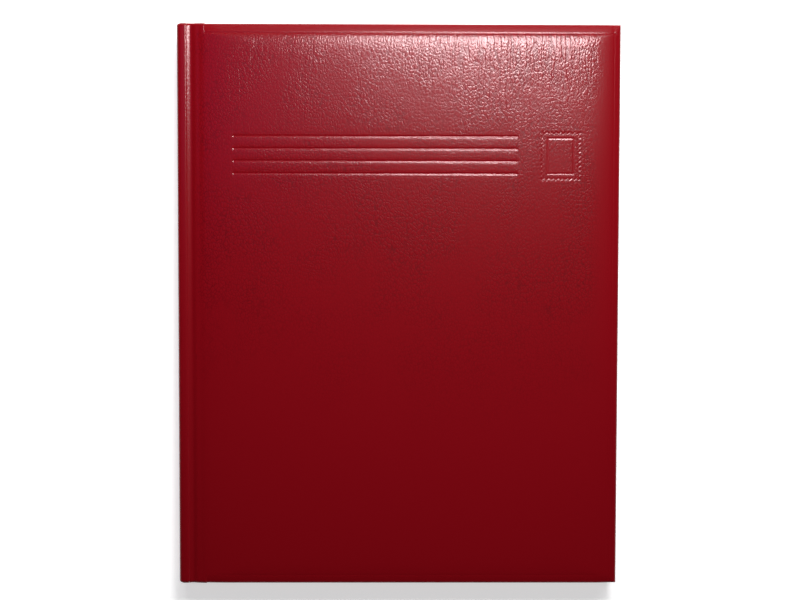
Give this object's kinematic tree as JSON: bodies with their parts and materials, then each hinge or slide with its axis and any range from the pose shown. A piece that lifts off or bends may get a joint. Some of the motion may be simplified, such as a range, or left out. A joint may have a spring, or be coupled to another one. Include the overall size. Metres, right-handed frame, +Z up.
{
  "type": "stamp album",
  "caption": "Closed stamp album with a padded glossy leatherette case, ridged spine with deep joints, and hinged card leaves with clear pocket strips that fan out as it opens.",
  "frame": {"origin": "middle of the face that the album rests on, under the closed album's bounding box", "axes": "+Z up through the thickness from back cover to front cover, +Y towards the head of the album, spine on the -X side"},
  "size_m": [0.24, 0.305, 0.0233],
  "materials": {
    "leatherette": "glossy embossed grain",
    "foam": "open-cell foam",
    "greyboard": "matt",
    "endpaper": "matt",
    "lining_cloth": "open weave",
    "headband_silk": "striped thread",
    "black_card": "matt",
    "linen": "woven",
    "clear_film": "clear glossy",
    "glassine": "satin translucent"
  },
  "bodies": {
    "back_cover": {"back_cover_board": "greyboard", "back_cover_padding": "foam", "back_cover_leatherette": "leatherette", "back_pastedown": "endpaper", "back_joint_leatherette": "leatherette"},
    "spine": {"spine_board": "greyboard", "spine_padding": "foam", "spine_leatherette": "leatherette", "spine_lining": "lining_cloth", "head_band": "headband_silk", "tail_band": "headband_silk"},
    "front_cover": {"front_cover_board": "greyboard", "front_cover_padding": "foam", "front_cover_leatherette": "leatherette", "front_pastedown": "endpaper", "front_joint_leatherette": "leatherette"},
    "front_flyleaf": {"front_flyleaf": "endpaper"},
    "back_flyleaf": {"back_flyleaf": "endpaper"},
    "leaf_1": {"leaf_1_card": "black_card", "leaf_1_hinge": "linen", "leaf_1_front_strips": "clear_film", "leaf_1_back_strips": "clear_film"},
    "leaf_2": {"leaf_2_card": "black_card", "leaf_2_hinge": "linen", "leaf_2_front_strips": "clear_film", "leaf_2_back_strips": "clear_film"},
    "leaf_3": {"leaf_3_card": "black_card", "leaf_3_hinge": "linen", "leaf_3_front_strips": "clear_film", "leaf_3_back_strips": "clear_film"},
    "leaf_4": {"leaf_4_card": "black_card", "leaf_4_hinge": "linen", "leaf_4_front_strips": "clear_film", "leaf_4_back_strips": "clear_film"},
    "leaf_5": {"leaf_5_card": "black_card", "leaf_5_hinge": "linen", "leaf_5_front_strips": "clear_film", "leaf_5_back_strips": "clear_film"},
    "leaf_6": {"leaf_6_card": "black_card", "leaf_6_hinge": "linen", "leaf_6_front_strips": "clear_film", "leaf_6_back_strips": "clear_film"},
    "leaf_7": {"leaf_7_card": "black_card", "leaf_7_hinge": "linen", "leaf_7_front_strips": "clear_film", "leaf_7_back_strips": "clear_film"},
    "leaf_8": {"leaf_8_card": "black_card", "leaf_8_hinge": "linen", "leaf_8_front_strips": "clear_film", "leaf_8_back_strips": "clear_film"},
    "interleaf_1": {"interleaf_1": "glassine"},
    "interleaf_2": {"interleaf_2": "glassine"},
    "interleaf_3": {"interleaf_3": "glassine"},
    "interleaf_4": {"interleaf_4": "glassine"},
    "interleaf_5": {"interleaf_5": "glassine"},
    "interleaf_6": {"interleaf_6": "glassine"},
    "interleaf_7": {"interleaf_7": "glassine"}
  },
  "joints": [
    {"name": "front_cover_open", "type": "hinge", "parent": "spine", "child": "front_cover", "pos_m": [-0.11375, 0, 0.01705], "axis": [0, -1, 0], "range_deg": [0, 90], "deforming": ["front_joint_leatherette"]},
    {"name": "spine_tilt", "type": "hinge", "parent": "back_cover", "child": "spine", "pos_m": [-0.11375, 0, 0.00625], "axis": [0, -1, 0], "range_deg": [0, 90], "deforming": ["back_joint_leatherette"]},
    {"name": "front_flyleaf_turn", "type": "hinge", "parent": "spine", "child": "front_flyleaf", "pos_m": [-0.1132, 0, 0.01657], "axis": [0, -1, 0], "range_deg": [0, 83]},
    {"name": "leaf_1_turn", "type": "hinge", "parent": "spine", "child": "leaf_1", "pos_m": [-0.1132, 0, 0.01592], "axis": [0, -1, 0], "range_deg": [0, 73]},
    {"name": "interleaf_1_turn", "type": "hinge", "parent": "spine", "child": "interleaf_1", "pos_m": [-0.1132, 0, 0.01531], "axis": [0, -1, 0], "range_deg": [0, 70.5]},
    {"name": "leaf_2_turn", "type": "hinge", "parent": "spine", "child": "leaf_2", "pos_m": [-0.1132, 0, 0.0147], "axis": [0, -1, 0], "range_deg": [0, 68]},
    {"name": "interleaf_2_turn", "type": "hinge", "parent": "spine", "child": "interleaf_2", "pos_m": [-0.1132, 0, 0.01409], "axis": [0, -1, 0], "range_deg": [0, 65.5]},
    {"name": "leaf_3_turn", "type": "hinge", "parent": "spine", "child": "leaf_3", "pos_m": [-0.1132, 0, 0.01348], "axis": [0, -1, 0], "range_deg": [0, 63]},
    {"name": "interleaf_3_turn", "type": "hinge", "parent": "spine", "child": "interleaf_3", "pos_m": [-0.1132, 0, 0.01287], "axis": [0, -1, 0], "range_deg": [0, 60.5]},
    {"name": "leaf_4_turn", "type": "hinge", "parent": "spine", "child": "leaf_4", "pos_m": [-0.1132, 0, 0.01226], "axis": [0, -1, 0], "range_deg": [0, 58]},
    {"name": "interleaf_4_turn", "type": "hinge", "parent": "spine", "child": "interleaf_4", "pos_m": [-0.1132, 0, 0.01165], "axis": [0, -1, 0], "range_deg": [-55.5, 0]},
    {"name": "leaf_5_turn", "type": "hinge", "parent": "spine", "child": "leaf_5", "pos_m": [-0.1132, 0, 0.01104], "axis": [0, -1, 0], "range_deg": [-58, 0]},
    {"name": "interleaf_5_turn", "type": "hinge", "parent": "spine", "child": "interleaf_5", "pos_m": [-0.1132, 0, 0.01043], "axis": [0, -1, 0], "range_deg": [-60.5, 0]},
    {"name": "leaf_6_turn", "type": "hinge", "parent": "spine", "child": "leaf_6", "pos_m": [-0.1132, 0, 0.00982], "axis": [0, -1, 0], "range_deg": [-63, 0]},
    {"name": "interleaf_6_turn", "type": "hinge", "parent": "spine", "child": "interleaf_6", "pos_m": [-0.1132, 0, 0.00921], "axis": [0, -1, 0], "range_deg": [-65.5, 0]},
    {"name": "leaf_7_turn", "type": "hinge", "parent": "spine", "child": "leaf_7", "pos_m": [-0.1132, 0, 0.0086], "axis": [0, -1, 0], "range_deg": [-68, 0]},
    {"name": "interleaf_7_turn", "type": "hinge", "parent": "spine", "child": "interleaf_7", "pos_m": [-0.1132, 0, 0.00799], "axis": [0, -1, 0], "range_deg": [-70.5, 0]},
    {"name": "leaf_8_turn", "type": "hinge", "parent": "spine", "child": "leaf_8", "pos_m": [-0.1132, 0, 0.00738], "axis": [0, -1, 0], "range_deg": [-73, 0]},
    {"name": "back_flyleaf_turn", "type": "hinge", "parent": "spine", "child": "back_flyleaf", "pos_m": [-0.1132, 0, 0.00673], "axis": [0, -1, 0], "range_deg": [-83, 0]}
  ],
  "couplings": [
    {"joint": "spine_tilt", "follows": "front_cover_open", "ratio": 1},
    {"joint": "front_flyleaf_turn", "follows": "front_cover_open", "ratio": 0.92222},
    {"joint": "leaf_1_turn", "follows": "front_cover_open", "ratio": 0.81111},
    {"joint": "interleaf_1_turn", "follows": "front_cover_open", "ratio": 0.78333},
    {"joint": "leaf_2_turn", "follows": "front_cover_open", "ratio": 0.75556},
    {"joint": "interleaf_2_turn", "follows": "front_cover_open", "ratio": 0.72778},
    {"joint": "leaf_3_turn", "follows": "front_cover_open", "ratio": 0.7},
    {"joint": "interleaf_3_turn", "follows": "front_cover_open", "ratio": 0.67222},
    {"joint": "leaf_4_turn", "follows": "front_cover_open", "ratio": 0.64444},
    {"joint": "interleaf_4_turn", "follows": "front_cover_open", "ratio": -0.61667},
    {"joint": "leaf_5_turn", "follows": "front_cover_open", "ratio": -0.64444},
    {"joint": "interleaf_5_turn", "follows": "front_cover_open", "ratio": -0.67222},
    {"joint": "leaf_6_turn", "follows": "front_cover_open", "ratio": -0.7},
    {"joint": "interleaf_6_turn", "follows": "front_cover_open", "ratio": -0.72778},
    {"joint": "leaf_7_turn", "follows": "front_cover_open", "ratio": -0.75556},
    {"joint": "interleaf_7_turn", "follows": "front_cover_open", "ratio": -0.78333},
    {"joint": "leaf_8_turn", "follows": "front_cover_open", "ratio": -0.81111},
    {"joint": "back_flyleaf_turn", "follows": "front_cover_open", "ratio": -0.92222}
  ]
}
